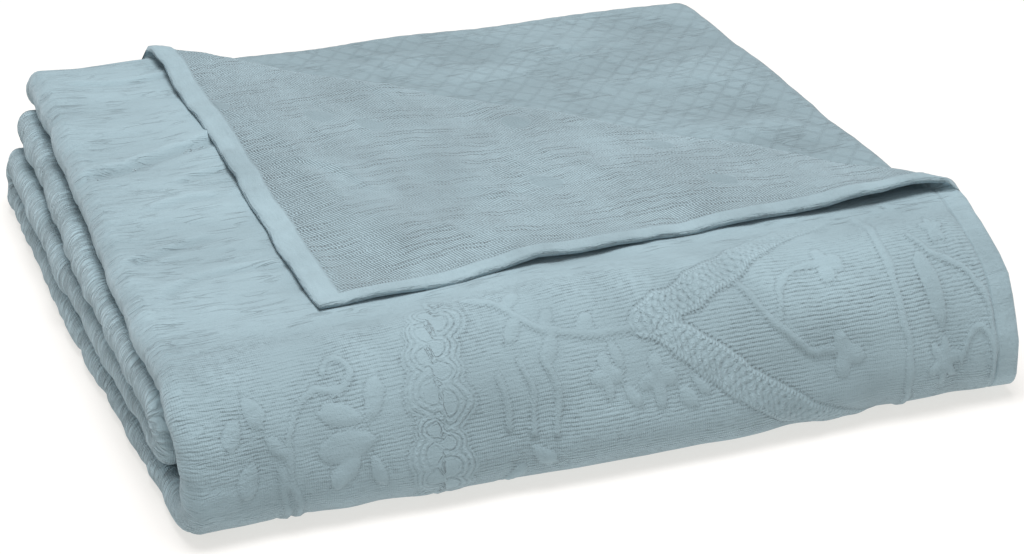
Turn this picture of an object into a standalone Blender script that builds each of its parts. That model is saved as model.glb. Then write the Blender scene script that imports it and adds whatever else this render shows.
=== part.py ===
"""A matelasse coverlet, folded and lying flat, with one corner turned back.

The cloth is modelled as it is made: one flat quilted length with its thickness, cut into a mesh along the
lines where it will bend. The fold takes every point of it through the turned-back corner, the letter fold
across the width, the two half folds along the length, and the soft settling of the pile.

Flat cloth: s runs across the width from the free right hem, t along the length from the back hem, and w
through the thickness, with the face side up. Folded: X to the right, Y to the back, Z up, in metres.
"""

import math
from collections import namedtuple

import bmesh
import bpy
import numpy as np

# Driving dimensions
CLOTH_THICKNESS = 0.003
LAYER_PITCH = 0.0096
OUTER_HEM_X = 0.592
LEFT_FOLD_X = 0.0
RIGHT_FOLD_X = 0.572
INNER_HEM_X = 0.024
FRONT_Y = 0.003
BACK_EDGE_Y = 0.558
BACK_DRAPE = 0.023
BACK_DRAPE_RADIUS = 0.032
BACK_FOLD_Y = 0.578
INNER_FOLD_Y = 0.062
LAST_HEM_Y = 0.558

# The turned-back corner, whose crease runs from the back hem to the right hem
CREASE_POINT = (0.3445, 0.3375)
CREASE_ANGLE = math.radians(-44.2)
CREASE_RADIUS = LAYER_PITCH / 2
CREASE_CUTS = 5
HEM_RISE = 0.005
HEM_RISE_WIDTH = 0.06
HEM_RISE_REACH = (0.32, 0.12)
TIP_SINK = 0.004

# How the pile settles
FRONT_REACH = (0.13, 0.03)
FRONT_LEAN = 0.30
FRONT_LEAN_HEIGHT = 0.040
FRONT_FOOT = 0.010
FRONT_BELLY = 0.007
FRONT_LEFT_DROP = 0.13
BACK_RIGHT_DROP = 0.04
RIGHT_HEM_DRAW = 0.015
LEFT_SWELL = 0.25
UNDULATION = 0.0013

# Sideways shift of the left folds, from the back hem of the cloth to its last hem
EdgeShift = namedtuple("EdgeShift", "along shift")
EDGE_SHIFTS = (
    EdgeShift(0.00, 0.018),
    EdgeShift(0.20, 0.010),
    EdgeShift(0.42, 0.001),
    EdgeShift(0.62, 0.000),
    EdgeShift(0.75, -0.006),
    EdgeShift(0.95, -0.010),
    EdgeShift(1.20, -0.006),
    EdgeShift(1.40, -0.010),
    EdgeShift(1.65, -0.003),
    EdgeShift(1.90, -0.006),
    EdgeShift(2.20, 0.006),
)

# Raised bands of the weave, which run the length of the outer third
Band = namedtuple("Band", "name middle width height")
BANDS = (
    Band("border ridge", 0.097, 0.012, 0.0010),
    Band("frond column", 0.420, 0.050, 0.0013),
)
BAND_FADE = 0.04

# Middle of the folded coverlet's footprint
CENTRE_X = 0.2913
CENTRE_Y = 0.2922

COVERLET_COLOUR = (0.30, 0.41, 0.47, 1.0)
COVERLET_ROUGHNESS = 0.9

Section = namedtuple("Section", "name length turn cuts")


def letter_fold():
    """Across the width, from the free right hem: out over the top, back under, and in between."""
    left_bend = LEFT_FOLD_X + LAYER_PITCH + CLOTH_THICKNESS / 2
    right_bend = RIGHT_FOLD_X - LAYER_PITCH / 2 - CLOTH_THICKNESS / 2
    return (
        Section("outer third", OUTER_HEM_X - left_bend, 0, 16),
        Section("left fold", math.pi * LAYER_PITCH, math.pi, 6),
        Section("middle third", right_bend - left_bend, 0, 5),
        Section("right fold", math.pi * LAYER_PITCH / 2, math.pi, 4),
        Section("inner third", right_bend - INNER_HEM_X, 0, 6),
    )


def half_folds():
    """Along the length, from the back hem: over the top, round the front, and back and forth inside."""
    slab = 3 * LAYER_PITCH
    outside = LAYER_PITCH + CLOTH_THICKNESS / 2
    front_bend = FRONT_Y + 1.5 * slab + outside
    back_bend = BACK_FOLD_Y - slab / 2 - outside
    inner_bend = INNER_FOLD_Y + slab / 2 + outside
    return (
        Section("back drape", BACK_DRAPE, BACK_DRAPE / BACK_DRAPE_RADIUS, 3),
        Section("top quarter", BACK_EDGE_Y - front_bend, 0, 16),
        Section("front wrap", math.pi * 1.5 * slab, math.pi, 12),
        Section("bottom quarter", back_bend - front_bend, 0, 6),
        Section("back fold", math.pi * slab / 2, math.pi, 5),
        Section("third quarter", back_bend - inner_bend, 0, 6),
        Section("inner front fold", math.pi * slab / 2, -math.pi, 5),
        Section("last quarter", LAST_HEM_Y - inner_bend, 0, 6),
    )


ACROSS = letter_fold()
ALONG = half_folds()
CLOTH_WIDTH = sum(section.length for section in ACROSS)
CLOTH_LENGTH = sum(section.length for section in ALONG)
OUTER_THIRD = ACROSS[0].length
FRONT_WRAP_FROM = ALONG[0].length + ALONG[1].length
FRONT_WRAP_TO = FRONT_WRAP_FROM + ALONG[2].length
BACK_FOLD_FROM = FRONT_WRAP_TO + ALONG[3].length
BACK_FOLD_TO = BACK_FOLD_FROM + ALONG[4].length
BACK_HEM_Y = BACK_EDGE_Y + BACK_DRAPE
STACK_HEIGHT = 11 * LAYER_PITCH + CLOTH_THICKNESS


def ease(start, end, value):
    """0 at the start, 1 at the end, and an even ease between them."""
    share = np.clip((value - start) / (end - start), 0, 1)
    return share * share * (3 - 2 * share)


def hump(middle, half_width, value):
    """1 at the middle, easing to 0 at half_width either side."""
    return ease(half_width, 0, np.abs(value - middle))


def follow(sections, start, heading, distance):
    """Position and right-hand normal at each distance along a run of straight sections and bends."""
    ends = np.cumsum([section.length for section in sections])
    which = np.minimum(np.searchsorted(ends, distance), len(sections) - 1)
    place = np.zeros((2, len(distance)))
    normal = np.zeros((2, len(distance)))
    corner = np.array(start, float)
    begun = 0.0
    for number, section in enumerate(sections):
        here = which == number
        run = distance[here] - begun
        angle = heading + section.turn * run / section.length
        out_of = heading + section.turn
        if section.turn:
            radius = section.length / section.turn
            place[0, here] = corner[0] + radius * (np.sin(angle) - math.sin(heading))
            place[1, here] = corner[1] - radius * (np.cos(angle) - math.cos(heading))
            corner[0] += radius * (math.sin(out_of) - math.sin(heading))
            corner[1] -= radius * (math.cos(out_of) - math.cos(heading))
        else:
            place[0, here] = corner[0] + run * math.cos(heading)
            place[1, here] = corner[1] + run * math.sin(heading)
            corner[0] += section.length * math.cos(heading)
            corner[1] += section.length * math.sin(heading)
        normal[0, here] = np.sin(angle)
        normal[1, here] = -np.cos(angle)
        heading = out_of
        begun += section.length
    return place, normal


def turn_corner_back(x, y, w):
    """Roll the back right corner of the outer layer up over its crease, and lay it down on the layer."""
    across = (-math.sin(CREASE_ANGLE), math.cos(CREASE_ANGLE))
    beyond = (x - CREASE_POINT[0]) * across[0] + (y - CREASE_POINT[1]) * across[1]
    angle = np.clip(beyond / CREASE_RADIUS, 0, math.pi)
    flap = np.maximum(beyond - math.pi * CREASE_RADIUS, 0)
    move = np.minimum(beyond, 0) - flap + (CREASE_RADIUS - w) * np.sin(angle) - beyond
    lift = CREASE_RADIUS - (CREASE_RADIUS - w) * np.cos(angle)
    settled = ease(0, 0.05, flap)
    rise = HEM_RISE * ease(HEM_RISE_WIDTH, 0, OUTER_HEM_X - x) * ease(*HEM_RISE_REACH, y)
    tip = np.hypot(OUTER_HEM_X - x, BACK_HEM_Y - y)
    lift = lift + settled * (rise - TIP_SINK * ease(0.14, 0.03, tip))
    return x + across[0] * move, y + across[1] * move, lift


def band_relief(s):
    """Height of the raised bands of the weave on the face side."""
    height = np.zeros(len(s))
    for band in BANDS:
        share = 1 - np.abs(s - band.middle) / (band.width / 2)
        height = np.maximum(height, band.height * share)
    return height


def settle(x, y, z, length):
    """The soft unevenness of the pile: it slumps at the front and leans a little from quarter to quarter."""
    front = ease(*FRONT_REACH, y)
    foot = FRONT_FOOT + FRONT_BELLY * hump(0.33, 0.30, x)
    y = y + front * (FRONT_LEAN * (z - FRONT_LEAN_HEIGHT) - foot * ease(0.06, 0.0, z))
    drop = FRONT_LEFT_DROP * ease(0.35, 0.0, x) * ease(0.45, 0.05, y)
    drop = drop + BACK_RIGHT_DROP * ease(0.25, 0.55, x) * ease(0.40, 0.57, y)
    drop = drop + UNDULATION / STACK_HEIGHT * np.sin(x * 37 + y * 9) * np.sin(y * 29 - x * 7)
    z = z * (1 - drop)
    places = [row.along for row in EDGE_SHIFTS]
    shifts = [row.shift for row in EDGE_SHIFTS]
    x = x + np.interp(length, places, shifts) * ease(0.30, 0.0, x)
    x = x - RIGHT_HEM_DRAW * ease(0.50, 0.59, x) * ease(0.20, 0.05, y)
    return x, y, z


def fold(s, t, w):
    """Where each point of the flat cloth lies in the folded coverlet."""
    w = w + band_relief(s) * (w > 0) * ease(FRONT_WRAP_TO, FRONT_WRAP_TO - BAND_FADE, t)
    (x, n), (across, through) = follow(ACROSS, (OUTER_HEM_X, LAYER_PITCH), math.pi, s)
    x = x + across * w
    n = n + through * w
    y = BACK_HEM_Y - t
    top = (s < OUTER_THIRD) & (t < FRONT_WRAP_FROM)
    x[top], y[top], lift = turn_corner_back(x[top], y[top], w[top])
    n[top] = LAYER_PITCH + lift
    length = BACK_HEM_Y - y
    on_floor = ease(FRONT_WRAP_FROM, FRONT_WRAP_TO, length) * ease(BACK_FOLD_TO, BACK_FOLD_FROM, length)
    n = n * (1 + LEFT_SWELL * ease(0.05, 0.0, x) * np.where(n > 0, 1 - on_floor, 1))
    droop = BACK_DRAPE / BACK_DRAPE_RADIUS
    top_height = STACK_HEIGHT - LAYER_PITCH - CLOTH_THICKNESS / 2
    start = (
        BACK_EDGE_Y + BACK_DRAPE_RADIUS * math.sin(droop),
        top_height - BACK_DRAPE_RADIUS * (1 - math.cos(droop)),
    )
    (y, z), (back, up) = follow(ALONG, start, math.pi - droop, length)
    x, y, z = settle(x, y + back * n, z + up * n, length)
    return x - CENTRE_X, y - CENTRE_Y, z


def cut_lines(sections):
    """Places along a run where the mesh is cut, a few to a section."""
    lines = []
    begun = 0.0
    for section in sections:
        lines += [begun + section.length * k / section.cuts for k in range(section.cuts)]
        begun += section.length
    return lines[1:]


def cut(bm, point, normal, s_range=(0, 10), t_range=(0, 10)):
    """Cut the flat cloth with an upright plane, where its faces lie within the ranges."""
    faces = []
    for face in bm.faces:
        middle = face.calc_center_median()
        if s_range[0] < middle.x < s_range[1] and t_range[0] < middle.y < t_range[1]:
            faces.append(face)
    edges = {edge for face in faces for edge in face.edges}
    verts = {vert for face in faces for vert in face.verts}
    bmesh.ops.bisect_plane(
        bm,
        geom=[*verts, *edges, *faces],
        dist=1e-5,
        plane_co=(*point, 0),
        plane_no=(*normal, 0),
    )


def flat_cloth():
    """The flat cloth with its thickness, cut along its bends, its raised bands and its crease."""
    bm = bmesh.new()
    bmesh.ops.create_grid(bm, x_segments=1, y_segments=1, size=0.5)
    bmesh.ops.scale(bm, vec=(CLOTH_WIDTH, CLOTH_LENGTH, 1), verts=bm.verts)
    bmesh.ops.translate(bm, vec=(CLOTH_WIDTH / 2, CLOTH_LENGTH / 2, 0), verts=bm.verts)
    band_lines = [band.middle + band.width * k / 2 for band in BANDS for k in (-1, 0, 1)]
    for s in cut_lines(ACROSS) + band_lines:
        cut(bm, (s, 0), (1, 0))
    for t in cut_lines(ALONG):
        cut(bm, (0, t), (0, 1))
    crease = (math.sin(CREASE_ANGLE), -math.cos(CREASE_ANGLE))
    for k in range(-1, CREASE_CUTS + 3):
        beyond = math.pi * CREASE_RADIUS * k / CREASE_CUTS
        s = OUTER_HEM_X - CREASE_POINT[0] + crease[0] * beyond
        t = BACK_HEM_Y - CREASE_POINT[1] + crease[1] * beyond
        cut(bm, (s, t), crease, (0, OUTER_THIRD), (0, FRONT_WRAP_FROM))
    bmesh.ops.solidify(bm, geom=bm.faces[:], thickness=CLOTH_THICKNESS)
    return bm


def fold_mesh(bm):
    """Carry every point of the flat cloth to its folded place, with the faces pointing out."""
    flat = np.array([vert.co[:] for vert in bm.verts])
    w = flat[:, 2] - (flat[:, 2].min() + flat[:, 2].max()) / 2
    for vert, place in zip(bm.verts, np.transpose(fold(flat[:, 0], flat[:, 1], w))):
        vert.co = place
    bmesh.ops.triangulate(bm, faces=bm.faces[:])
    if bm.calc_volume(signed=True) < 0:
        bmesh.ops.reverse_faces(bm, faces=bm.faces[:])


def cotton(name):
    """Soft matt blue-grey cotton."""
    material = bpy.data.materials.new(name)
    material.use_nodes = True
    shader = material.node_tree.nodes["Principled BSDF"]
    shader.inputs["Base Color"].default_value = COVERLET_COLOUR
    shader.inputs["Roughness"].default_value = COVERLET_ROUGHNESS
    shader.inputs["Metallic"].default_value = 0.0
    return material


def build_coverlet():
    bm = flat_cloth()
    fold_mesh(bm)
    mesh = bpy.data.meshes.new("coverlet")
    bm.to_mesh(mesh)
    bm.free()
    mesh.shade_smooth()
    mesh.materials.append(cotton("matelasse cotton"))
    coverlet = bpy.data.objects.new("coverlet", mesh)
    bpy.context.collection.objects.link(coverlet)
    return coverlet


for leftover in list(bpy.data.objects):
    bpy.data.objects.remove(leftover)
coverlet = build_coverlet()
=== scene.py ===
"""Looks of the folded matelasse coverlet: the cloth, its weave, the floor, the light and the camera.

The cloth is one quilted length. It is cut flat, finely where it shows, given its woven relief, and folded by
the same moves as the part: the turned-back corner, the letter fold across the width, the half folds along the
length and the soft settling of the pile.

Flat cloth: s runs across the width from the free right hem, t along the length from the back hem, and w
through the thickness, with the face side up. Folded: X to the right, Y to the back, Z up, in metres.
"""

import math
from collections import namedtuple

import bmesh
import bpy
import numpy as np
from mathutils import Matrix, Vector


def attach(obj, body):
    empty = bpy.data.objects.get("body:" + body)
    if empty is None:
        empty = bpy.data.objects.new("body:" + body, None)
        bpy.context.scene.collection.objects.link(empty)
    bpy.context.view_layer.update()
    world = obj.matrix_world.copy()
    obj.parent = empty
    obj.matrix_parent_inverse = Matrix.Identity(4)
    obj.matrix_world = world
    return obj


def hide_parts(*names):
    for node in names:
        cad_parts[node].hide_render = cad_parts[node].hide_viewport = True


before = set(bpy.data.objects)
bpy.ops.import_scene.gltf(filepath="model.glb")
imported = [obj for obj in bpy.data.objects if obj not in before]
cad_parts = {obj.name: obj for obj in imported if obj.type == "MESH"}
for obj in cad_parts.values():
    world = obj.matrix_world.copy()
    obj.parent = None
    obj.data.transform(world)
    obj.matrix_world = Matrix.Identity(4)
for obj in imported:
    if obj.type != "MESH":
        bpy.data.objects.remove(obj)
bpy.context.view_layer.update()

# Driving dimensions, as in the part
CLOTH_THICKNESS = 0.003
LAYER_PITCH = 0.0096
OUTER_HEM_X = 0.592
LEFT_FOLD_X = 0.0
RIGHT_FOLD_X = 0.572
INNER_HEM_X = 0.024
FRONT_Y = 0.003
BACK_EDGE_Y = 0.558
BACK_DRAPE = 0.023
BACK_DRAPE_RADIUS = 0.032
BACK_FOLD_Y = 0.578
INNER_FOLD_Y = 0.062
LAST_HEM_Y = 0.558

# The turned-back corner, whose crease runs from the back hem to the right hem
CREASE_POINT = (0.3445, 0.3375)
CREASE_ANGLE = math.radians(-44.2)
CREASE_RADIUS = LAYER_PITCH / 2
CREASE_CUTS = 5
HEM_RISE = 0.005
HEM_RISE_WIDTH = 0.06
HEM_RISE_REACH = (0.25, 0.10)
TIP_SINK = 0.004

# How the pile settles
FRONT_REACH = (0.13, 0.03)
FRONT_LEAN = 0.30
FRONT_LEAN_HEIGHT = 0.040
FRONT_FOOT = 0.010
FRONT_BELLY = 0.007
FRONT_LEFT_DROP = 0.13
BACK_RIGHT_DROP = 0.04
RIGHT_HEM_DRAW = 0.015
LEFT_SWELL = 0.25
UNDULATION = 0.0013

# Sideways shift of the left folds, from the back hem of the cloth to its last hem
EdgeShift = namedtuple("EdgeShift", "along shift")
EDGE_SHIFTS = (
    EdgeShift(0.00, 0.018),
    EdgeShift(0.20, 0.010),
    EdgeShift(0.42, 0.001),
    EdgeShift(0.62, 0.000),
    EdgeShift(0.75, -0.006),
    EdgeShift(0.95, -0.010),
    EdgeShift(1.20, -0.006),
    EdgeShift(1.40, -0.010),
    EdgeShift(1.65, -0.003),
    EdgeShift(1.90, -0.006),
    EdgeShift(2.20, 0.006),
)

# Middle of the folded coverlet's footprint
CENTRE_X = 0.2913
CENTRE_Y = 0.2922

# Hem, turned over to the reverse side and stitched
HEM_WIDTH = 0.017
HEM_DEPTH = 0.0011
HEM_ROUND = 0.0016
HEM_SWAY = 0.0016
FLAP_SINK = 0.0052

Section = namedtuple("Section", "name length turn cuts")


def letter_fold():
    """Across the width, from the free right hem: out over the top, back under, and in between."""
    left_bend = LEFT_FOLD_X + LAYER_PITCH + CLOTH_THICKNESS / 2
    right_bend = RIGHT_FOLD_X - LAYER_PITCH / 2 - CLOTH_THICKNESS / 2
    return (
        Section("outer third", OUTER_HEM_X - left_bend, 0, 40),
        Section("left fold", math.pi * LAYER_PITCH, math.pi, 3),
        Section("middle third", right_bend - left_bend, 0, 12),
        Section("right fold", math.pi * LAYER_PITCH / 2, math.pi, 4),
        Section("inner third", right_bend - INNER_HEM_X, 0, 32),
    )


def half_folds():
    """Along the length, from the back hem: over the top, round the front, and back and forth inside."""
    slab = 3 * LAYER_PITCH
    outside = LAYER_PITCH + CLOTH_THICKNESS / 2
    front_bend = FRONT_Y + 1.5 * slab + outside
    back_bend = BACK_FOLD_Y - slab / 2 - outside
    inner_bend = INNER_FOLD_Y + slab / 2 + outside
    return (
        Section("back drape", BACK_DRAPE, BACK_DRAPE / BACK_DRAPE_RADIUS, 2),
        Section("top quarter", BACK_EDGE_Y - front_bend, 0, 35),
        Section("front wrap", math.pi * 1.5 * slab, math.pi, 12),
        Section("bottom quarter", back_bend - front_bend, 0, 12),
        Section("back fold", math.pi * slab / 2, math.pi, 5),
        Section("third quarter", back_bend - inner_bend, 0, 12),
        Section("inner front fold", math.pi * slab / 2, -math.pi, 5),
        Section("last quarter", LAST_HEM_Y - inner_bend, 0, 12),
    )


ACROSS = letter_fold()
ALONG = half_folds()
CLOTH_WIDTH = sum(section.length for section in ACROSS)
CLOTH_LENGTH = sum(section.length for section in ALONG)
OUTER_THIRD = ACROSS[0].length
LEFT_FOLD_END = OUTER_THIRD + ACROSS[1].length
INNER_THIRD = CLOTH_WIDTH - ACROSS[4].length
FRONT_WRAP_FROM = ALONG[0].length + ALONG[1].length
FRONT_WRAP_TO = FRONT_WRAP_FROM + ALONG[2].length
BACK_FOLD_FROM = FRONT_WRAP_TO + ALONG[3].length
BACK_FOLD_TO = BACK_FOLD_FROM + ALONG[4].length
BACK_HEM_Y = BACK_EDGE_Y + BACK_DRAPE
STACK_HEIGHT = 11 * LAYER_PITCH + CLOTH_THICKNESS

# Woven motifs, placed on the flat cloth in metres from the right hem and the back hem
Stem = namedtuple("Stem", "name points")
Leaf = namedtuple("Leaf", "name base tip width")
Flower = namedtuple("Flower", "name centre petals radius turn")
ROPE_WIDTH = 0.0200
ROPE_HEIGHT = 0.0012
ROPE_APEX = (0.2785, 0.5590)
ROPE_ARMS = (
    ((0.100, 0.478), (0.140, 0.503), (0.176, 0.522), (0.214, 0.541), (0.244, 0.551), ROPE_APEX),
    ((0.100, 0.664), (0.135, 0.643), (0.171, 0.625), (0.206, 0.604), (0.240, 0.582), ROPE_APEX),
)
STEM_WIDTH = 0.0036
STEM_HEIGHT = 0.0012
LEAF_HEIGHT = 0.0010
STEMS = (
    Stem("long spray", ((0.208, 0.548), (0.197, 0.562), (0.183, 0.577), (0.168, 0.587), (0.150, 0.590))),
    Stem("short spray", ((0.184, 0.571), (0.179, 0.557), (0.169, 0.549), (0.156, 0.546), (0.146, 0.546))),
    Stem("border spray", ((0.072, 0.538), (0.060, 0.551), (0.044, 0.557), (0.029, 0.567), (0.020, 0.582), (0.018, 0.604))),
    Stem("border loop", ((0.052, 0.606), (0.044, 0.594), (0.033, 0.589), (0.024, 0.593), (0.020, 0.606), (0.022, 0.622))),
    Stem(
        "scroll",
        ((0.493, 0.551), (0.487, 0.546), (0.478, 0.548), (0.475, 0.556), (0.482, 0.562), (0.495, 0.560), (0.509, 0.563), (0.519, 0.574), (0.524, 0.588), (0.524, 0.604), (0.519, 0.620), (0.517, 0.645)),
    ),
    Stem("scroll inside", ((0.531, 0.596), (0.529, 0.612), (0.526, 0.630), (0.527, 0.645))),
    Stem("vine", ((0.284, 0.561), (0.298, 0.562), (0.315, 0.560), (0.334, 0.558), (0.352, 0.551))),
    Stem("vine tip", ((0.352, 0.551), (0.362, 0.541), (0.372, 0.530))),
    Stem("bar one", ((0.381, 0.572), (0.378, 0.584), (0.380, 0.598))),
    Stem("bar two", ((0.366, 0.568), (0.361, 0.584), (0.365, 0.602))),
    Stem("bar three", ((0.350, 0.566), (0.344, 0.584), (0.349, 0.604))),
    Stem("frond stem", ((0.408, 0.508), (0.410, 0.526), (0.416, 0.544), (0.421, 0.558), (0.422, 0.575), (0.424, 0.592), (0.426, 0.612), (0.427, 0.650))),
)
LEAVES = (
    Leaf("border leaf", (0.066, 0.588), (0.071, 0.552), 0.0150),
    Leaf("spray leaf one", (0.372, 0.532), (0.388, 0.520), 0.0080),
    Leaf("spray leaf two", (0.364, 0.539), (0.352, 0.528), 0.0080),
    Leaf("spray leaf three", (0.358, 0.547), (0.370, 0.556), 0.0080),
    Leaf("spray leaf four", (0.346, 0.554), (0.336, 0.545), 0.0075),
    Leaf("spray leaf five", (0.340, 0.557), (0.347, 0.570), 0.0085),
    Leaf("spray leaf six", (0.322, 0.560), (0.312, 0.552), 0.0075),
    Leaf("vine leaf one", (0.304, 0.566), (0.299, 0.577), 0.0070),
    Leaf("vine leaf two", (0.298, 0.588), (0.290, 0.597), 0.0075),
    Leaf("vine leaf three", (0.262, 0.594), (0.253, 0.603), 0.0075),
    Leaf("vine leaf four", (0.252, 0.590), (0.243, 0.597), 0.0070),
    Leaf("scroll leaf", (0.526, 0.588), (0.536, 0.580), 0.0090),
    Leaf("scroll petal one", (0.470, 0.579), (0.459, 0.561), 0.0110),
    Leaf("scroll petal two", (0.474, 0.577), (0.498, 0.571), 0.0120),
    Leaf("scroll petal three", (0.468, 0.588), (0.503, 0.591), 0.0150),
    Leaf("scroll petal four", (0.480, 0.597), (0.498, 0.609), 0.0110),
    Leaf("scroll petal five", (0.472, 0.597), (0.465, 0.614), 0.0100),
    Leaf("low leaf one", (0.366, 0.610), (0.352, 0.621), 0.0100),
    Leaf("low leaf two", (0.372, 0.620), (0.381, 0.636), 0.0110),
    Leaf("left leaf one", (0.545, 0.556), (0.538, 0.572), 0.0110),
    Leaf("left leaf two", (0.552, 0.566), (0.562, 0.580), 0.0110),
    Leaf("left leaf three", (0.546, 0.590), (0.556, 0.606), 0.0130),
    Leaf("corner leaf one", (0.228, 0.212), (0.205, 0.222), 0.0190),
    Leaf("corner leaf two", (0.300, 0.080), (0.276, 0.092), 0.0200),
    Leaf("corner leaf three", (0.268, 0.112), (0.244, 0.122), 0.0160),
    Leaf("corner leaf four", (0.352, 0.016), (0.330, 0.022), 0.0150),
    Leaf("corner leaf five", (0.120, 0.190), (0.098, 0.205), 0.0180),
    Leaf("corner leaf six", (0.070, 0.300), (0.052, 0.318), 0.0170),
    Leaf("corner leaf seven", (0.150, 0.290), (0.132, 0.305), 0.0160),
)
FLOWERS = (
    Flower("long spray bud", (0.141, 0.593), 3, 0.0125, 3.0),
    Flower("short spray bud", (0.139, 0.547), 3, 0.0115, 3.1),
    Flower("border flower", (0.068, 0.606), 6, 0.0150, 0.3),
    Flower("border flower behind", (0.046, 0.536), 5, 0.0110, 0.9),
    Flower("vine flower one", (0.311, 0.582), 4, 0.0110, 0.1),
    Flower("vine flower two", (0.276, 0.588), 4, 0.0125, 0.05),
)
Crease = namedtuple("Crease", "name points depth width")
CREASES = (
    Crease("long crease", ((0.590, 0.236), (0.560, 0.222), (0.524, 0.208), (0.490, 0.200), (0.455, 0.186)), 0.0030, 0.0056),
    Crease("crease ahead of it", ((0.530, 0.262), (0.500, 0.250), (0.470, 0.243)), 0.0017, 0.0034),
    Crease("back crease", ((0.575, 0.052), (0.520, 0.060), (0.460, 0.048)), 0.0018, 0.0036),
    Crease("middle crease", ((0.560, 0.300), (0.520, 0.288), (0.486, 0.290)), 0.0017, 0.0034),
    Crease("crease by the fold", ((0.585, 0.375), (0.545, 0.352), (0.505, 0.345)), 0.0020, 0.0036),
    Crease("front crease", ((0.570, 0.430), (0.540, 0.402), (0.500, 0.398), (0.470, 0.410)), 0.0018, 0.0036),
    Crease("turned crease", ((0.230, 0.040), (0.190, 0.075), (0.140, 0.085)), 0.0010, 0.0045),
    Crease("turned crease by the hem", ((0.060, 0.100), (0.100, 0.140), (0.110, 0.190)), 0.0009, 0.0045),
    Crease("under crease", ((1.250, 0.070), (1.300, 0.100), (1.350, 0.090)), 0.0012, 0.0050),
    Crease("under crease at the back", ((1.480, 0.030), (1.460, 0.075), (1.470, 0.120)), 0.0010, 0.0060),
    Crease("under crease in front", ((1.215, 0.140), (1.260, 0.160), (1.300, 0.150)), 0.0010, 0.0050),
)
FROND_LOBES = 9
FROND_PITCH = 0.0152
FROND_HEIGHT = 0.0009
FROND_FROM = 0.524
FROND_REACH = (0.0165, 0.0115)
RIDGE_S = 0.097
RIDGE_HALF = 0.0024
RIDGE_HEIGHT = 0.0012
MOTIFS_FADE = (0.47, 0.53)
BACK_MOTIFS = 0.15

LATTICE_S = 0.0190
LATTICE_T = 0.0250
LATTICE_HEIGHT = 0.0003
RIB_PITCH = 0.00205
FLOOR_GLOW = 0.62
REVERSE_RIB_PITCH = 0.0020

COTTON = (0.318, 0.425, 0.470, 1.0)


def ease(start, end, value):
    """0 at the start, 1 at the end, and an even ease between them."""
    share = np.clip((value - start) / (end - start), 0, 1)
    return share * share * (3 - 2 * share)


def hump(middle, half_width, value):
    """1 at the middle, easing to 0 at half_width either side."""
    return ease(half_width, 0, np.abs(value - middle))


def soft_noise(u, v, seed):
    """A smooth random field between about -1 and 1, with a new bump every unit of u and v."""
    grid = np.random.default_rng(seed).uniform(-1, 1, (97, 97))
    column, row = np.floor(u).astype(int), np.floor(v).astype(int)
    a, b = u - column, v - row
    a, b = a * a * (3 - 2 * a), b * b * (3 - 2 * b)
    near, far = (grid[column % 97, r % 97] for r in (row, row + 1))
    near_next, far_next = (grid[(column + 1) % 97, r % 97] for r in (row, row + 1))
    return (near * (1 - a) + near_next * a) * (1 - b) + (far * (1 - a) + far_next * a) * b


def follow(sections, start, heading, distance):
    """Position and right-hand normal at each distance along a run of straight sections and bends."""
    ends = np.cumsum([section.length for section in sections])
    which = np.minimum(np.searchsorted(ends, distance), len(sections) - 1)
    place = np.zeros((2, len(distance)))
    normal = np.zeros((2, len(distance)))
    corner = np.array(start, float)
    begun = 0.0
    for number, section in enumerate(sections):
        here = which == number
        run = distance[here] - begun
        angle = heading + section.turn * run / section.length
        out_of = heading + section.turn
        if section.turn:
            radius = section.length / section.turn
            place[0, here] = corner[0] + radius * (np.sin(angle) - math.sin(heading))
            place[1, here] = corner[1] - radius * (np.cos(angle) - math.cos(heading))
            corner[0] += radius * (math.sin(out_of) - math.sin(heading))
            corner[1] -= radius * (math.cos(out_of) - math.cos(heading))
        else:
            place[0, here] = corner[0] + run * math.cos(heading)
            place[1, here] = corner[1] + run * math.sin(heading)
            corner[0] += section.length * math.cos(heading)
            corner[1] += section.length * math.sin(heading)
        normal[0, here] = np.sin(angle)
        normal[1, here] = -np.cos(angle)
        heading = out_of
        begun += section.length
    return place, normal


def beyond_crease(x, y):
    """How far a point of the flat top lies past the crease, towards the corner."""
    across = (-math.sin(CREASE_ANGLE), math.cos(CREASE_ANGLE))
    return (x - CREASE_POINT[0]) * across[0] + (y - CREASE_POINT[1]) * across[1]


def turn_corner_back(x, y, w):
    """Roll the back right corner of the outer layer up over its crease, and lay it down on the layer."""
    across = (-math.sin(CREASE_ANGLE), math.cos(CREASE_ANGLE))
    beyond = beyond_crease(x, y)
    angle = np.clip(beyond / CREASE_RADIUS, 0, math.pi)
    flap = np.maximum(beyond - math.pi * CREASE_RADIUS, 0)
    move = np.minimum(beyond, 0) - flap + (CREASE_RADIUS - w) * np.sin(angle) - beyond
    lift = CREASE_RADIUS - (CREASE_RADIUS - w) * np.cos(angle)
    settled = ease(0, 0.05, flap)
    rise = HEM_RISE * ease(HEM_RISE_WIDTH, 0, OUTER_HEM_X - x) * ease(*HEM_RISE_REACH, y)
    tip = np.hypot(OUTER_HEM_X - x, BACK_HEM_Y - y)
    from_hem = np.minimum(OUTER_HEM_X - x, BACK_HEM_Y - y)
    near_tip = ease(0.14, 0.03, tip)
    sink = FLAP_SINK * ease(0.06, 0.0, from_hem) * (1 - near_tip) * ease(0.02, 0.09, flap)
    lift = lift + settled * (rise - TIP_SINK * near_tip) - sink
    return x + across[0] * move, y + across[1] * move, lift


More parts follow.
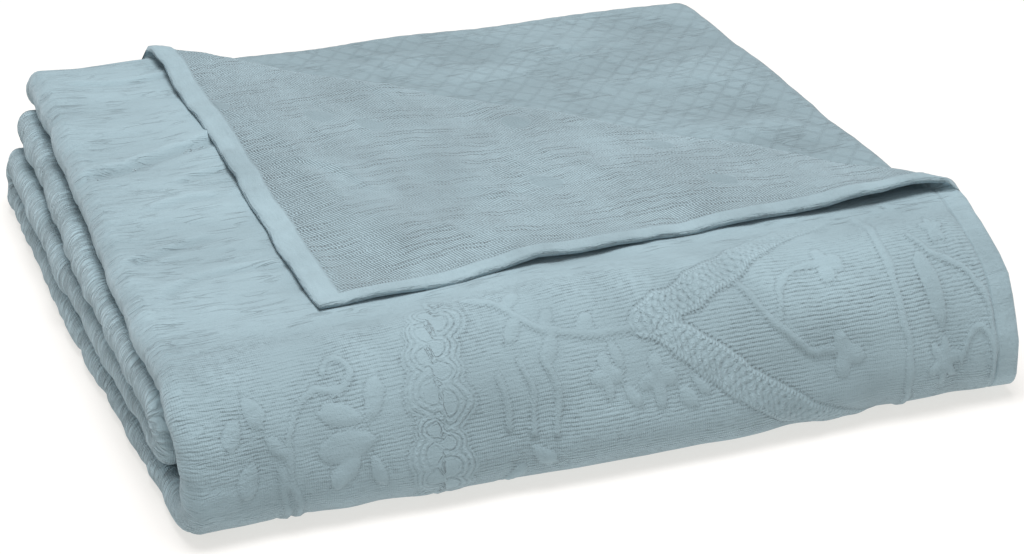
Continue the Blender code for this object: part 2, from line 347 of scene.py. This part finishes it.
def settle(x, y, z, length):
    """The soft unevenness of the pile: it slumps at the front and leans a little from quarter to quarter."""
    front = ease(*FRONT_REACH, y)
    foot = FRONT_FOOT + FRONT_BELLY * hump(0.33, 0.30, x)
    y = y + front * (FRONT_LEAN * (z - FRONT_LEAN_HEIGHT) - foot * ease(0.06, 0.0, z))
    drop = FRONT_LEFT_DROP * ease(0.35, 0.0, x) * ease(0.45, 0.05, y)
    drop = drop + BACK_RIGHT_DROP * ease(0.25, 0.55, x) * ease(0.40, 0.57, y)
    drop = drop + UNDULATION / STACK_HEIGHT * np.sin(x * 37 + y * 9) * np.sin(y * 29 - x * 7)
    z = z * (1 - drop)
    places = [row.along for row in EDGE_SHIFTS]
    shifts = [row.shift for row in EDGE_SHIFTS]
    x = x + np.interp(length, places, shifts) * ease(0.30, 0.0, x)
    x = x - RIGHT_HEM_DRAW * ease(0.50, 0.59, x) * ease(0.20, 0.05, y)
    return x, y, z


def fold(s, t, w):
    """Where each point of the flat cloth lies in the folded coverlet."""
    (x, n), (across, through) = follow(ACROSS, (OUTER_HEM_X, LAYER_PITCH), math.pi, s)
    x = x + across * w
    n = n + through * w
    y = BACK_HEM_Y - t
    top = (s < OUTER_THIRD) & (t < FRONT_WRAP_FROM)
    x[top], y[top], lift = turn_corner_back(x[top], y[top], w[top])
    n[top] = LAYER_PITCH + lift
    length = BACK_HEM_Y - y
    on_floor = ease(FRONT_WRAP_FROM, FRONT_WRAP_TO, length) * ease(BACK_FOLD_TO, BACK_FOLD_FROM, length)
    n = n * (1 + LEFT_SWELL * ease(0.05, 0.0, x) * np.where(n > 0, 1 - on_floor, 1))
    droop = BACK_DRAPE / BACK_DRAPE_RADIUS
    top_height = STACK_HEIGHT - LAYER_PITCH - CLOTH_THICKNESS / 2
    start = (
        BACK_EDGE_Y + BACK_DRAPE_RADIUS * math.sin(droop),
        top_height - BACK_DRAPE_RADIUS * (1 - math.cos(droop)),
    )
    (y, z), (back, up) = follow(ALONG, start, math.pi - droop, length)
    x, y, z = settle(x, y + back * n, z + up * n, length)
    return x - CENTRE_X, y - CENTRE_Y, z


def smooth_path(points, steps=8):
    """Points along a smooth curve through the given ones."""
    ends = np.array([points[0], *points, points[-1]], float)
    path = []
    for a, b, c, d in zip(ends, ends[1:], ends[2:], ends[3:]):
        for k in range(steps):
            u = k / steps
            path.append(
                0.5 * (2 * b + (c - a) * u + (2 * a - 5 * b + 4 * c - d) * u**2 + (3 * b - a - 3 * c + d) * u**3)
            )
    return np.array([*path, points[-1]])


def along_path(s, t, path):
    """Distance from a path, distance along it, and signed distance across it, for each point of the cloth."""
    best = np.full(len(s), 9.0)
    along = np.zeros(len(s))
    across = np.zeros(len(s))
    begun = 0.0
    for a, b in zip(path, path[1:]):
        length = math.hypot(*(b - a))
        ahead = (b - a) / length
        run = np.clip((s - a[0]) * ahead[0] + (t - a[1]) * ahead[1], 0, length)
        off_s, off_t = s - a[0] - run * ahead[0], t - a[1] - run * ahead[1]
        distance = np.hypot(off_s, off_t)
        nearer = distance < best
        best = np.where(nearer, distance, best)
        along = np.where(nearer, begun + run, along)
        across = np.where(nearer, ahead[0] * off_t - ahead[1] * off_s, across)
        begun += length
    return best, along, across


def leaf_inside(s, t, leaf):
    """How far inside a leaf's outline each point lies."""
    base, tip = np.array(leaf.base), np.array(leaf.tip)
    length = math.hypot(*(tip - base))
    ahead = (tip - base) / length
    run = ((s - base[0]) * ahead[0] + (t - base[1]) * ahead[1]) / length
    across = ahead[0] * (t - base[1]) - ahead[1] * (s - base[0])
    half = leaf.width / 2 * np.sqrt(np.clip(run * (1.06 - run) * 3.9, 0, 1)) * (0.75 + 0.4 * run)
    inside = np.where((run > 0) & (run < 1.06), half - np.abs(across), -np.abs(across))
    return np.minimum(inside, np.minimum(run, 1.06 - run) * length + 0.002)


def flower_inside(s, t, flower):
    """How far inside a flower's petals each point lies."""
    off_s, off_t = s - flower.centre[0], t - flower.centre[1]
    angle = (np.arctan2(off_t, off_s) - flower.turn) * flower.petals / 2
    reach = flower.radius * (0.38 + 0.62 * np.abs(np.cos(angle)) ** 1.1)
    return (reach - np.hypot(off_s, off_t)) * 0.8


def frond_radius(s, t):
    """Distance from the heart of the nearest lobe of the frond column, 1 at the lobe's rim."""
    stem = smooth_path(STEMS[-1].points)
    nearest = np.full(len(s), 3.0)
    for number in range(FROND_LOBES):
        for way in (-1, 1):
            size = 1 + 0.20 * math.sin(number * 2.4 + way * 1.3) - 0.35 * (number < 1)
            heart_t = FROND_FROM + FROND_PITCH * (number + 0.22 * way + 0.15 * math.sin(number * 1.7 + way))
            heart_s = np.interp(heart_t, stem[:, 1], stem[:, 0]) + way * 0.0035
            out = np.hypot((s - heart_s) / FROND_REACH[0], (t - heart_t) / FROND_REACH[1]) / size
            nearest = np.minimum(nearest, out + 1.5 * ease(-0.0015, -0.0065, (s - heart_s) * way))
    return nearest


def build_relief(s, t):
    """Height of the woven motifs, how far inside one each point lies, and its place on the rope and the frond."""
    count = len(s)
    height = np.zeros(count)
    inside = np.full(count, -0.02)
    petal = np.full(count, -0.02)
    rope = np.tile((0.0, 3.0, -0.02), (count, 1))
    lobe = np.full(count, 3.0)
    seen = (s < LEFT_FOLD_END) & (t < FRONT_WRAP_TO + 0.02)
    u = s[seen] + 0.0014 * soft_noise(s[seen] * 110, t[seen] * 110, 21)
    v = t[seen] + 0.0014 * soft_noise(s[seen] * 110, t[seen] * 110, 22)
    shown, plain = np.zeros(len(u)), np.full(len(u), -0.02)
    for stem in STEMS:
        distance, _, _ = along_path(u, v, smooth_path(stem.points))
        shown = np.maximum(shown, STEM_HEIGHT * np.sqrt(np.clip(1 - (distance / (STEM_WIDTH * 0.75)) ** 2, 0, 1)))
        plain = np.maximum(plain, STEM_WIDTH / 2 - distance)
    petals = [leaf_inside(u, v, leaf) for leaf in LEAVES] + [flower_inside(u, v, flower) for flower in FLOWERS]
    for depth in petals:
        shown = np.maximum(shown, LEAF_HEIGHT * ease(-0.0022, 0.0040, depth))
        plain = np.maximum(plain, depth)
    petal[seen] = np.max(petals, axis=0)
    trough = 0.0005 * np.exp(-(((plain + 0.0028) / 0.0020) ** 2))
    band = rope[seen]
    for arm in ROPE_ARMS:
        path = smooth_path(arm)
        distance, along, _ = along_path(u, v, path)
        total = sum(math.hypot(*(b - a)) for a, b in zip(path, path[1:]))
        half = ROPE_WIDTH / 2 * (0.78 + 0.22 * ease(0.0, 0.05, total - along))
        nearer = half - distance > band[:, 2]
        band[nearer] = np.transpose([total - along, distance / half, half - distance])[nearer]
    twist = 0.80 + 0.20 * np.sin(band[:, 0] * 2 * math.pi / 0.021 + band[:, 1] * 2)
    shown = np.maximum(shown, ROPE_HEIGHT * ease(-0.0012, 0.0042, band[:, 2]) * twist)
    plain = np.maximum(plain, band[:, 2])
    radius = frond_radius(u, v)
    arcs = 1 - 0.20 * ease(0.25, 0.45, radius) * (1 - np.cos(2 * math.pi * radius / 0.46)) / 2
    shown = np.maximum(shown, FROND_HEIGHT * ease(1.16, 0.62, radius) * arcs)
    plain = np.maximum(plain, (1.02 - radius) * 0.010)
    cord = np.abs(u - RIDGE_S + 0.0012 * soft_noise(v * 40, u * 0, 23))
    shown = np.maximum(shown, RIDGE_HEIGHT * np.sqrt(np.clip(1 - (cord / (RIDGE_HALF * 1.3)) ** 2, 0, 1)))
    plain = np.maximum(plain, RIDGE_HALF - cord)
    faint = BACK_MOTIFS + (1 - BACK_MOTIFS) * ease(*MOTIFS_FADE, v)
    height[seen] = (shown - trough) * faint
    inside[seen] = plain
    rope[seen] = band
    lobe[seen] = radius
    quilted = s > INNER_THIRD - 0.1
    rising = np.abs(np.sin((s / LATTICE_S + t / LATTICE_T) * math.pi))
    falling = np.abs(np.sin((s / LATTICE_S - t / LATTICE_T) * math.pi))
    height = np.where(quilted, LATTICE_HEIGHT * ease(0.0, 0.8, np.minimum(rising, falling)), height)
    return height, inside, petal, rope, lobe


def crease_depth(s, t):
    """Longer creases pressed into the cloth, each with a low ridge along its front side."""
    depth = np.zeros(len(s))
    near = (s < INNER_THIRD - 0.1) & (t < FRONT_WRAP_FROM) | (s > INNER_THIRD) & (t < 0.3)
    for crease in CREASES:
        distance, along, across = along_path(s[near], t[near], smooth_path(crease.points, 5))
        ends = ease(0, 0.02, along) * ease(0, 0.02, crease_length(crease) - along)
        trough = np.exp(-((distance / crease.width) ** 2))
        ridge = np.exp(-(((across - 1.7 * crease.width) / (1.3 * crease.width)) ** 2)) * (distance < 0.05)
        depth[near] += crease.depth * ends * (0.75 * ridge - trough)
    return depth


def crease_length(crease):
    path = smooth_path(crease.points, 5)
    return sum(math.hypot(*(b - a)) for a, b in zip(path, path[1:]))


def billow(u, v, seed):
    """Rounded puffs between narrow grooves, from about -0.6 in the grooves to 1 on the puffs."""
    return 2.2 * np.minimum(np.abs(soft_noise(u, v, seed)), 0.7) - 0.6


def flat_wrinkles(s, t):
    """Soft puckers and creases of the cloth's own surface, which move both its sides together."""
    edge = np.abs(s - (OUTER_THIRD + LEFT_FOLD_END) / 2)
    reach = 0.045 + 0.035 * soft_noise(t * 30, s * 0, 5)
    bend = 0.18 * s + 0.006 * soft_noise(s * 30, t * 30, 7)
    drift = 0.008 * soft_noise(s * 20, t * 20, 8)
    gather = ease(reach + 0.050, 0.004, edge)
    height = gather * (0.00070 * billow((t + bend) * 84, s * 15, 1) + 0.00036 * billow((t - bend) * 160, s * 24, 2))
    loops = ease(FRONT_WRAP_TO, FRONT_WRAP_TO + 0.04, t) * ease(0.034, 0.012, edge)
    height = height + loops * (0.0010 * billow((t + drift) * 70, s * 20, 12) + 0.0006 * billow(t * 130 + s * 30, s * 34, 15))
    top = ease(0.02, 0.08, s) * ease(0.60, 0.52, s) * ease(FRONT_WRAP_FROM + 0.04, FRONT_WRAP_FROM - 0.04, t)
    height = height + 0.00055 * top * billow((t + drift + bend) * 74, s * 20, 3)
    height = height + 0.00150 * soft_noise((t + drift) * 27, s * 13, 4)
    wrap = ease(FRONT_WRAP_FROM - 0.05, FRONT_WRAP_FROM + 0.02, t) * ease(FRONT_WRAP_TO + 0.03, FRONT_WRAP_TO, t)
    height = height + 0.00110 * wrap * soft_noise(s * 46 + t * 12, t * 24, 9)
    inner = ease(INNER_THIRD, INNER_THIRD + 0.03, s) * ease(0.0, 0.03, t)
    height = height + 0.0011 * inner * soft_noise((t + drift) * 36 + s * 9, s * 13, 10)
    height = height + 0.0004 * inner * billow((t + drift) * 52 + s * 30, s * 40 - t * 12, 13)
    side_hem, end_hem = ease(0.030, 0.0, s), ease(0.034, 0.0, t)
    height = height + 0.0013 * side_hem * soft_noise(t * 70, s * 20, 6)
    height = height + 0.0012 * end_hem * soft_noise(s * 64, t * 20, 11) * ease(0.45, 0.30, s)
    return height + crease_depth(s, t)


def cut_lines(sections):
    """Places along a run where the mesh is cut, a few to a section."""
    lines = []
    begun = 0.0
    for section in sections:
        lines += [begun + section.length * k / section.cuts for k in range(section.cuts)]
        begun += section.length
    return lines[1:]


def cut(bm, point, normal, s_range=(0, 10), t_range=(0, 10)):
    """Cut the flat cloth with an upright plane, where its faces lie within the ranges."""
    faces = []
    for face in bm.faces:
        middle = face.calc_center_median()
        if s_range[0] < middle.x < s_range[1] and t_range[0] < middle.y < t_range[1]:
            faces.append(face)
    edges = {edge for face in faces for edge in face.edges}
    verts = {vert for face in faces for vert in face.verts}
    bmesh.ops.bisect_plane(
        bm,
        geom=[*verts, *edges, *faces],
        dist=1e-5,
        plane_co=(*point, 0),
        plane_no=(*normal, 0),
    )


def refine(bm, wanted, parts):
    """Divide every edge of the wanted faces into equal parts."""
    edges = {edge for face in bm.faces if wanted(face, face.calc_center_median()) for edge in face.edges}
    bmesh.ops.subdivide_edges(bm, edges=list(edges), cuts=parts - 1, use_grid_fill=True)


def flat_cloth():
    """The flat cloth with its thickness, cut finely on the sides and in the places that show."""
    bm = bmesh.new()
    bmesh.ops.create_grid(bm, x_segments=1, y_segments=1, size=0.5)
    bmesh.ops.scale(bm, vec=(CLOTH_WIDTH, CLOTH_LENGTH, 1), verts=bm.verts)
    bmesh.ops.translate(bm, vec=(CLOTH_WIDTH / 2, CLOTH_LENGTH / 2, 0), verts=bm.verts)
    hem_lines = (HEM_WIDTH, CLOTH_WIDTH - HEM_WIDTH)
    for s in sorted([*cut_lines(ACROSS), *hem_lines]):
        cut(bm, (s, 0), (1, 0))
    for t in sorted([*cut_lines(ALONG), HEM_WIDTH, CLOTH_LENGTH - HEM_WIDTH]):
        cut(bm, (0, t), (0, 1))
    for t in cut_lines([section._replace(cuts=2 * section.cuts) for section in ALONG])[1::2]:
        if t > FRONT_WRAP_TO:
            cut(bm, (0, t), (0, 1), (OUTER_THIRD - 0.016, LEFT_FOLD_END + 0.03))
    bmesh.ops.solidify(bm, geom=bm.faces[:], thickness=CLOTH_THICKNESS)
    heights = [vert.co.z for vert in bm.verts]
    bmesh.ops.translate(bm, vec=(0, 0, -(min(heights) + max(heights)) / 2), verts=bm.verts)

    def past(middle):
        return beyond_crease(OUTER_HEM_X - middle.x, BACK_HEM_Y - middle.y)

    def outer_face(face, middle):
        shows = middle.z > 0.001 and middle.x < OUTER_THIRD and middle.y < FRONT_WRAP_TO + 0.01
        return shows and (past(middle) < 0.01 or middle.y > FRONT_WRAP_FROM)

    def turned_corner(face, middle):
        shows = middle.z < -0.001 and middle.x < OUTER_THIRD and middle.y < FRONT_WRAP_FROM
        return shows and past(middle) > -0.01

    def under_corner(face, middle):
        x = INNER_HEM_X + CLOTH_WIDTH - middle.x
        shows = middle.z > 0.001 and middle.x > INNER_THIRD and middle.y < FRONT_WRAP_FROM
        return shows and beyond_crease(x, BACK_HEM_Y - middle.y) > -0.02

    def left_loops(face, middle):
        start = OUTER_THIRD if middle.y < FRONT_WRAP_TO + 0.01 else OUTER_THIRD - 0.016
        return middle.z > 0.001 and start < middle.x < LEFT_FOLD_END + 0.03

    refine(bm, outer_face, 5)
    refine(bm, turned_corner, 4)
    refine(bm, under_corner, 5)
    refine(bm, left_loops, 4)
    crease = (math.sin(CREASE_ANGLE), -math.cos(CREASE_ANGLE))
    for k in range(-1, CREASE_CUTS + 3):
        beyond = math.pi * CREASE_RADIUS * k / CREASE_CUTS
        s = OUTER_HEM_X - CREASE_POINT[0] + crease[0] * beyond
        t = BACK_HEM_Y - CREASE_POINT[1] + crease[1] * beyond
        cut(bm, (s, t), crease, (0, OUTER_THIRD), (0, FRONT_WRAP_FROM))
    rim = [edge for edge in bm.edges if edge.calc_length() > 0.002 and abs(edge.verts[0].co.z - edge.verts[1].co.z) > 0.002]
    bmesh.ops.subdivide_edges(bm, edges=rim, cuts=1)
    bmesh.ops.triangulate(bm, faces=bm.faces[:])
    return bm


def hem_shape(s, t, w):
    """Round the free edges, thicken the turned hem on the reverse, and sink its line of stitches."""
    from_edge = np.minimum(np.minimum(s, CLOTH_WIDTH - s), np.minimum(t, CLOTH_LENGTH - t))
    middle = np.abs(w) < 0.0005
    inward_s = np.where(s < 1e-4, -1, np.where(s > CLOTH_WIDTH - 1e-4, 1, 0))
    inward_t = np.where(t < 1e-4, -1, np.where(t > CLOTH_LENGTH - 1e-4, 1, 0))
    hem = ease(HEM_WIDTH + 0.0015, HEM_WIDTH - 0.0005, from_edge)
    w = w - np.where(w < -0.0005, HEM_DEPTH * hem, 0)
    stitch = hump(HEM_WIDTH, 0.0022, from_edge)
    w = w * (1 - 0.35 * stitch)
    sway = HEM_SWAY * ease(0.05, 0.0, from_edge)
    s = s + HEM_ROUND * inward_s * middle + sway * soft_noise(t * 46, s * 0, 31)
    t = t + HEM_ROUND * inward_t * middle + sway * soft_noise(s * 46, t * 0, 32)
    return s, t, w


def build_coverlet():
    bm = flat_cloth()
    flat = np.array([vert.co[:] for vert in bm.verts])
    s, t, w = flat.T
    side = np.sign(w)
    height, inside, petal, rope, lobe = build_relief(s, t)
    s, t, w = hem_shape(s, t, w)
    w = w + np.where(side > 0, height, -0.25 * height * (side < 0))
    wrinkle = flat_wrinkles(s, t)
    w = w + wrinkle
    x, y, z = fold(s, t, w)
    for vert, place in zip(bm.verts, np.transpose([x, y, np.maximum(z, 0.0)])):
        vert.co = place
    if bm.calc_volume(signed=True) < 0:
        bmesh.ops.reverse_faces(bm, faces=bm.faces[:])
    mesh = bpy.data.meshes.new("folded_cotton_cloth")
    bm.to_mesh(mesh)
    bm.free()
    mesh.shade_smooth()
    attributes = (
        ("flat_place", np.transpose([flat[:, 0], flat[:, 1], side])),
        ("rope_place", rope),
        # The wrinkles' height in millimetres, carried to the shader for their painted shade
        ("wrinkle_shade_place", np.transpose([wrinkle * 1000, wrinkle * 0, wrinkle * 0])),
        ("motif_place", np.transpose([inside, petal, lobe])),
    )
    for name, values in attributes:
        layer = mesh.attributes.new(name, "FLOAT_VECTOR", "POINT")
        layer.data.foreach_set("vector", values.astype(np.float32).ravel())
    cloth = bpy.data.objects.new("folded_cotton_cloth", mesh)
    bpy.context.collection.objects.link(cloth)
    print("coverlet triangles", len(mesh.polygons))
    return cloth


class Thread:
    """A socket in the cotton's shader. Maths on it is written as Python expressions."""

    def __init__(self, tree, socket=None):
        self.tree = tree
        self.socket = socket

    def node(self, kind, settings, sockets, output=0):
        """Any node, from its type, its settings and the values or links of its sockets."""
        made = self.tree.nodes.new(kind)
        for name, value in settings.items():
            setattr(made, name, value)
        for name, value in sockets.items():
            if isinstance(value, Thread):
                self.tree.links.new(value.socket, made.inputs[name])
            else:
                made.inputs[name].default_value = value
        return Thread(self.tree, made.outputs[output])

    def maths(self, operation, *values):
        return self.node("ShaderNodeMath", {"operation": operation}, dict(enumerate(values)))

    def __add__(self, other):
        return self.maths("ADD", self, other)

    def __sub__(self, other):
        return self.maths("SUBTRACT", self, other)

    def __rsub__(self, other):
        return self.maths("SUBTRACT", other, self)

    def __mul__(self, other):
        return self.maths("MULTIPLY", self, other)

    def __truediv__(self, other):
        return self.maths("DIVIDE", self, other)

    def __pow__(self, other):
        return self.maths("POWER", self, other)

    def __abs__(self):
        return self.maths("ABSOLUTE", self)

    def sine(self):
        return self.maths("SINE", self)

    def fraction(self):
        return self.maths("FRACT", self)

    def least(self, other):
        return self.maths("MINIMUM", self, other)

    def most(self, other):
        return self.maths("MAXIMUM", self, other)

    def eased(self, start, end):
        """0 at the start, 1 at the end, and an even ease between them."""
        return self.node(
            "ShaderNodeMapRange",
            {"interpolation_type": "SMOOTHSTEP"},
            {"Value": self, "From Min": start, "From Max": end},
        )

    __radd__ = __add__
    __rmul__ = __mul__


def cotton_material():
    """Matt blue-grey cotton: ribs on the ground, plain motifs, plaited ropes, scalloped fronds, a quilted lattice, with
    painted shade and highlight on their relief.
    """
    material = bpy.data.materials.new("matelasse_cotton")
    material.use_nodes = True
    tree = material.node_tree
    shader = tree.nodes["Principled BSDF"]
    thread = Thread(tree)

    def place(name):
        vector = thread.node("ShaderNodeAttribute", {"attribute_name": name}, {}, "Vector")
        return [thread.node("ShaderNodeSeparateXYZ", {}, {"Vector": vector}, k) for k in range(3)], vector

    def noise(factors, detail=2.0, rough=0.5, distortion=0.0):
        vector = thread.node("ShaderNodeVectorMath", {"operation": "MULTIPLY"}, {0: flat, 1: factors})
        sockets = {"Vector": vector, "Scale": 1.0, "Detail": detail, "Roughness": rough, "Distortion": distortion}
        return thread.node("ShaderNodeTexNoise", {}, sockets)

    def wave(value, pitch):
        return abs((value * (math.pi / pitch)).sine())

    (s, t, side), flat = place("flat_place")
    (rope_along, rope_across, rope_inside), _ = place("rope_place")
    (inside, petal, lobe), _ = place("motif_place")
    (wrinkle, _, _), _ = place("wrinkle_shade_place")
    face = side.eased(-0.1, 0.1)
    outer = s.eased(0.70, 0.66)
    front = t.eased(0.48, 0.54)
    wander = noise((70, 70, 1), 2.0) - 0.5
    patch = noise((16, 22, 1), 2.0) - 0.5
    flecks = noise((520, 700, 1), 1.0) - 0.5
    yarn = noise((1300, 1300, 1), 2.0, 0.7) - 0.5

    # Ground ribs, which run across the width, with the small floats of the yarn along them
    rib = wave(t + wander * 0.0018, RIB_PITCH) - 0.64
    floats = wave(s + wander * 0.002, 0.0014) - 0.64
    ground = inside.eased(0.0006, -0.0006)
    strength = (0.08 + 0.92 * front) * (0.62 + 2.6 * patch).least(1.0).most(0.12)
    broken = (0.75 + 2.2 * (noise((210, 330, 1), 1.0) - 0.5)).least(1.3).most(0.1)
    ribs = ground * strength * broken * (rib * (1.0 + 1.6 * flecks) + 0.55 * floats)

    # Plain motifs, puffed up, with a broken row of stitches round them
    puff = inside.eased(-0.0014, 0.0030)
    stitches = wave(s + t * 0.4, 0.0021) * wave(t - s * 0.4, 0.0021) - 0.3
    outline = inside.eased(-0.0026, -0.0010) * inside.eased(0.0010, -0.0008)
    folds = noise((260, 70, 1), 2.0) - 0.5
    motif = front * (0.30 * puff + puff * folds * 1.5 - outline * (0.15 + 0.8 * stitches) * (0.8 + 1.6 * flecks))

    # Plaited rope band
    lead = rope_along + wander * 0.0060
    strands = 0.75 * wave(lead - rope_across * 0.0066, 0.0050) + 0.60 * wave(lead + rope_across * 0.0080, 0.0063) - 0.85
    middle = rope_across.eased(0.80, 0.62)
    cord = rope_across.eased(0.66, 0.76) * rope_across.eased(0.98, 0.86)
    beads = wave(lead, 0.0027) - 0.35
    pits = rope_across.eased(0.92, 1.02) * rope_across.eased(1.18, 1.06) * (1 - wave(lead + 0.001, 0.0027))
    rope = front * (middle * strands * (0.9 + 4.0 * flecks) + cord * (0.1 + 0.8 * beads) - 0.8 * pits)

    # Nested arcs of the frond's lobes
    arcs = (wave(lobe + wander * 0.14, 0.23) - 0.64) * lobe.eased(0.27, 0.42)
    frond = (0.25 + 0.75 * front) * lobe.eased(1.14, 0.96) * arcs * (1.0 + 5.0 * flecks) * (0.9 + 2.4 * patch).most(0.2)

    # Quilted lattice over the field
    field = s.eased(INNER_THIRD - 0.10, INNER_THIRD - 0.09)
    rising = wave(s / LATTICE_S + t / LATTICE_T + wander * 0.16, 1.0)
    falling = wave(s / LATTICE_S - t / LATTICE_T + wander * 0.16, 1.0)
    nearest = rising.least(falling)
    lattice = field * (nearest.eased(0.0, 0.16) - 0.6 * nearest.eased(0.14, 0.24) * nearest.eased(0.44, 0.30) - 0.5)
    lattice = lattice * (0.75 + 1.8 * patch).most(0.35)

    # Short soft creases, which run across the width
    drawn = noise((24, 150, 1), 2.0, 0.5, 0.8)
    crease = (1 - abs(drawn - 0.5).eased(0.0, 0.045)) * noise((34, 50, 1), 1.0).eased(0.40, 0.62) * (outer * (1 - 0.8 * front) + field)
    loops = t.eased(FRONT_WRAP_TO - 0.03, FRONT_WRAP_TO + 0.02)
    gathered = s.eased(0.50, 0.58) * (0.35 + 0.65 * s.eased(0.66, 0.62)) * (0.7 + 1.3 * loops)
    puckers = abs(noise((56, 230, 1), 2.0, 0.5, 0.8) - 0.5).least(0.12) * gathered * 4.4
    fine = noise((60, 380, 1), 2.0, 0.6, 0.4) - 0.5

    # Reverse of the outer third: fine ribs in rows, offset from row to row, with a few plain places
    row = s + t * 0.10 + wander * 0.010 + (t * 42).sine() * 0.004
    fringe = wave(row, 0.0150)
    step = fringe.eased(0.42, 0.50) * (REVERSE_RIB_PITCH / 2)
    reverse_rib = wave(t + s * 0.43 + step + wander * 0.0014, REVERSE_RIB_PITCH) - 0.64
    marked = fringe.eased(0.30, 0.46) * fringe.eased(0.66, 0.54) * noise((30, 26, 1), 1.0).eased(0.45, 0.58)
    level = (0.90 + 1.3 * patch).most(0.55) + 1.0 * marked
    reverse = (1 - 0.85 * petal.eased(-0.0006, 0.0012)) * level * (reverse_rib * (1.3 + 2.4 * flecks) + 1.2 * flecks)

    hem = s.least(t).eased(HEM_WIDTH + 0.0010, HEM_WIDTH - 0.0004)
    seam = s.least(t).eased(HEM_WIDTH - 0.0014, HEM_WIDTH) * s.least(t).eased(HEM_WIDTH + 0.0018, HEM_WIDTH + 0.0004) * outer
    hem_puckers = hem * (noise((90, 90, 1), 2.0) - 0.5)
    pattern = outer * (ribs * 0.68 + rope * 0.78 + frond * 0.62) + lattice * 0.36
    woven = (face * pattern + (1 - face) * outer * reverse * 1.15) * (1 - hem)
    height = woven + face * outer * motif * 0.55 + yarn * 0.42 + fine * 0.50 - crease * 0.60 * face - seam * 0.4 + puckers
    height = height + hem_puckers * 1.6 + flecks * 0.30
    bump = thread.node("ShaderNodeBump", {}, {"Strength": 1.0, "Distance": 0.0010, "Height": height})

    reverse_leaf = (1 - face) * (1 - hem) * petal.eased(-0.0004, 0.0014) * 0.42
    # Painted shade and highlight: the woven relief is lighter on its ridges and darker in its grooves, and the creases
    # and the hem's stitch line are darkened with painted shade.
    shade = 1.02 + 0.27 * woven - 0.07 * crease * face + 0.06 * patch + 0.24 * yarn + 0.14 * fine - 0.10 * seam - reverse_leaf
    # Painted shade and highlight: the reverse's ribs are lighter on their ridges and darker in their grooves, the cloth
    # is darker in its wrinkles' troughs and lighter on their ridges, and the hem's puckers likewise.
    shade = shade + 0.12 * (1 - face) * outer * reverse * (1 - hem) + 0.055 * wrinkle.least(1.5).most(-2.6) + 0.16 * hem_puckers
    # Painted shade and highlight: the gathered puckers are lighter on their crests and darker in their hollows, and the
    # groove round the motifs is darkened with painted shade.
    shade = shade + 0.16 * (puckers - 0.35) * gathered - 0.06 * outline * face * front
    # Painted shade: the quilted field of the inner third, seen under the turned-back corner, is darkened (- 0.20 *
    # field).
    shade = shade + (1 - face) * outer * (0.20 - 0.21 * hem) - 0.20 * field
    colour = thread.node("ShaderNodeVectorMath", {"operation": "SCALE"}, {0: COTTON[:3], "Scale": shade})
    tree.links.new(colour.socket, shader.inputs["Base Color"])
    tree.links.new(bump.socket, shader.inputs["Normal"])
    rough = 0.93 - 0.06 * woven
    tree.links.new(rough.socket, shader.inputs["Roughness"])
    shader.inputs["Metallic"].default_value = 0.0
    shader.inputs["Specular IOR Level"].default_value = 0.20
    shader.inputs["Sheen Weight"].default_value = 0.30
    shader.inputs["Sheen Roughness"].default_value = 0.5
    shader.inputs["Sheen Tint"].default_value = (0.85, 0.93, 1.0, 1.0)
    return material


def build_floor():
    bm = bmesh.new()
    bmesh.ops.create_grid(bm, x_segments=1, y_segments=1, size=12)
    mesh = bpy.data.meshes.new("studio_floor")
    bm.to_mesh(mesh)
    bm.free()
    material = bpy.data.materials.new("white_floor")
    material.use_nodes = True
    shader = material.node_tree.nodes["Principled BSDF"]
    shader.inputs["Base Color"].default_value = (0.40, 0.39, 0.39, 1)
    shader.inputs["Emission Color"].default_value = (1, 0.975, 0.93, 1)
    shader.inputs["Emission Strength"].default_value = FLOOR_GLOW
    shader.inputs["Roughness"].default_value = 0.9
    shader.inputs["Specular IOR Level"].default_value = 0.0
    mesh.materials.append(material)
    floor = bpy.data.objects.new("studio_floor", mesh)
    floor.location.z = -0.0005
    bpy.context.collection.objects.link(floor)
    return floor


def add_softbox(name, place, target, size, power):
    light = bpy.data.lights.new(name, "AREA")
    light.shape = "SQUARE"
    light.size = size
    light.energy = power
    box = bpy.data.objects.new(name, light)
    box.location = place
    box.rotation_euler = (Vector(target) - Vector(place)).to_track_quat("-Z", "Y").to_euler()
    bpy.context.collection.objects.link(box)


def add_camera():
    """The photograph's viewpoint: its place, its turn and its angle of view."""
    focal_pixels, width_pixels, sensor = 2789.0, 1024, 36.0
    pitch, yaw, roll = (math.radians(angle) for angle in (25.53, 19.63, 0.66))
    ahead = Vector((math.sin(yaw) * math.cos(pitch), math.cos(yaw) * math.cos(pitch), -math.sin(pitch)))
    level = Vector((math.cos(yaw), -math.sin(yaw), 0))
    down = ahead.cross(level)
    right = level * math.cos(roll) + down * math.sin(roll)
    under = down * math.cos(roll) - level * math.sin(roll)
    lens = bpy.data.cameras.new("camera")
    lens.sensor_width = sensor
    lens.lens = focal_pixels / width_pixels * sensor
    lens.clip_start = 0.05
    lens.clip_end = 60
    camera = bpy.data.objects.new("camera", lens)
    turn = Matrix((right, -under, -ahead)).transposed()
    camera.matrix_world = Matrix.Translation((-0.6009, -1.7583, 0.8966)) @ turn.to_4x4()
    bpy.context.collection.objects.link(camera)
    bpy.context.scene.camera = camera


def light_studio():
    world = bpy.data.worlds.new("studio")
    world.use_nodes = True
    world.node_tree.nodes["Background"].inputs["Color"].default_value = (1, 1, 1, 1)
    world.node_tree.nodes["Background"].inputs["Strength"].default_value = 0.41
    bpy.context.scene.world = world
    add_softbox("overhead softbox", (-0.10, -0.10, 2.35), (0, 0, 0), 1.3, 52)
    bpy.context.scene.view_settings.view_transform = "Standard"


cloth = build_coverlet()
cloth.data.materials.append(cotton_material())
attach(cloth, "root")
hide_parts("coverlet")
floor = build_floor()
light_studio()
add_camera()
